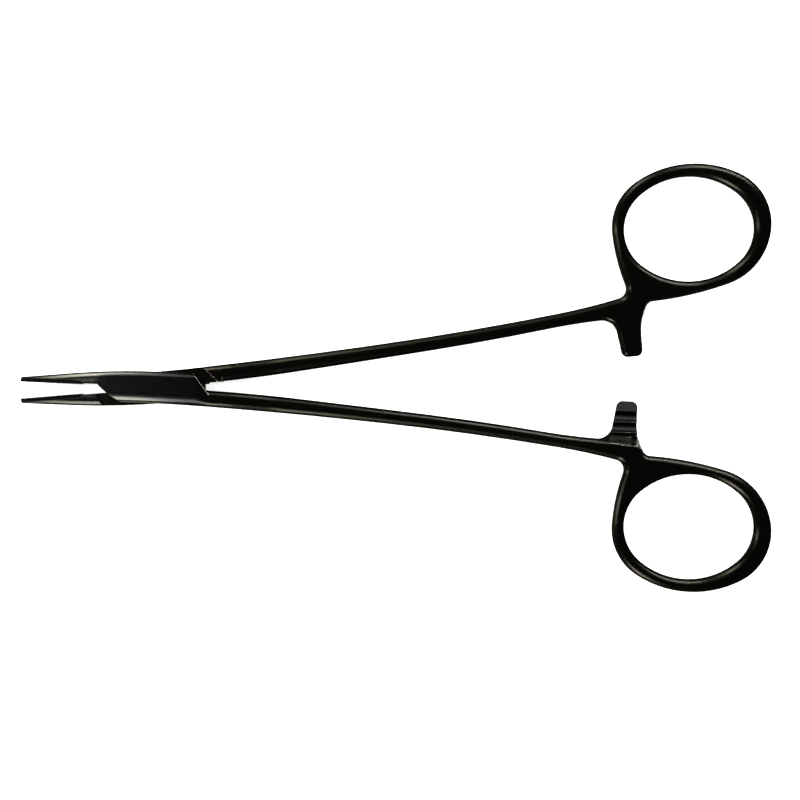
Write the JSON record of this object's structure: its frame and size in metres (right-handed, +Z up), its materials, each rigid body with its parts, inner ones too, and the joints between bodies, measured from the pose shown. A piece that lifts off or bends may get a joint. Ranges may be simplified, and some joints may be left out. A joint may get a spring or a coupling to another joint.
{
  "type": "surgical needle holder",
  "caption": "Slim ring-handled surgical needle holder with a box lock, tapered jaws with hatched inserts, and a ratchet between the shanks; it lies flat, slightly open.",
  "frame": {"origin": "on the pivot axis, at the underside of the box, where the instrument rests", "axes": "+X along the closed instrument from the pivot towards the finger rings, +Y across to the ring of the half with the tongue, +Z up along the pivot axis"},
  "size_m": [0.1509, 0.0858, 0.0048],
  "materials": {
    "black_coated_steel": "stainless steel under a thin near-black coating, satin to gloss, with soft warm grey reflections",
    "grip_insert": "hard gripping insert under the same dark coating, a little more matt, with a fine diamond hatch"
  },
  "bodies": {
    "box_side": {"box_half": "black_coated_steel", "box_jaw_insert": "grip_insert", "pivot_pin": "black_coated_steel"},
    "tongue_side": {"tongue_half": "black_coated_steel", "tongue_jaw_insert": "grip_insert"}
  },
  "joints": [
    {"name": "box_lock_pivot", "type": "hinge", "parent": "box_side", "child": "tongue_side", "pos_m": [0, 0, 0.0024], "axis": [0, 0, 1], "range_deg": [-6.86, 30]}
  ]
}
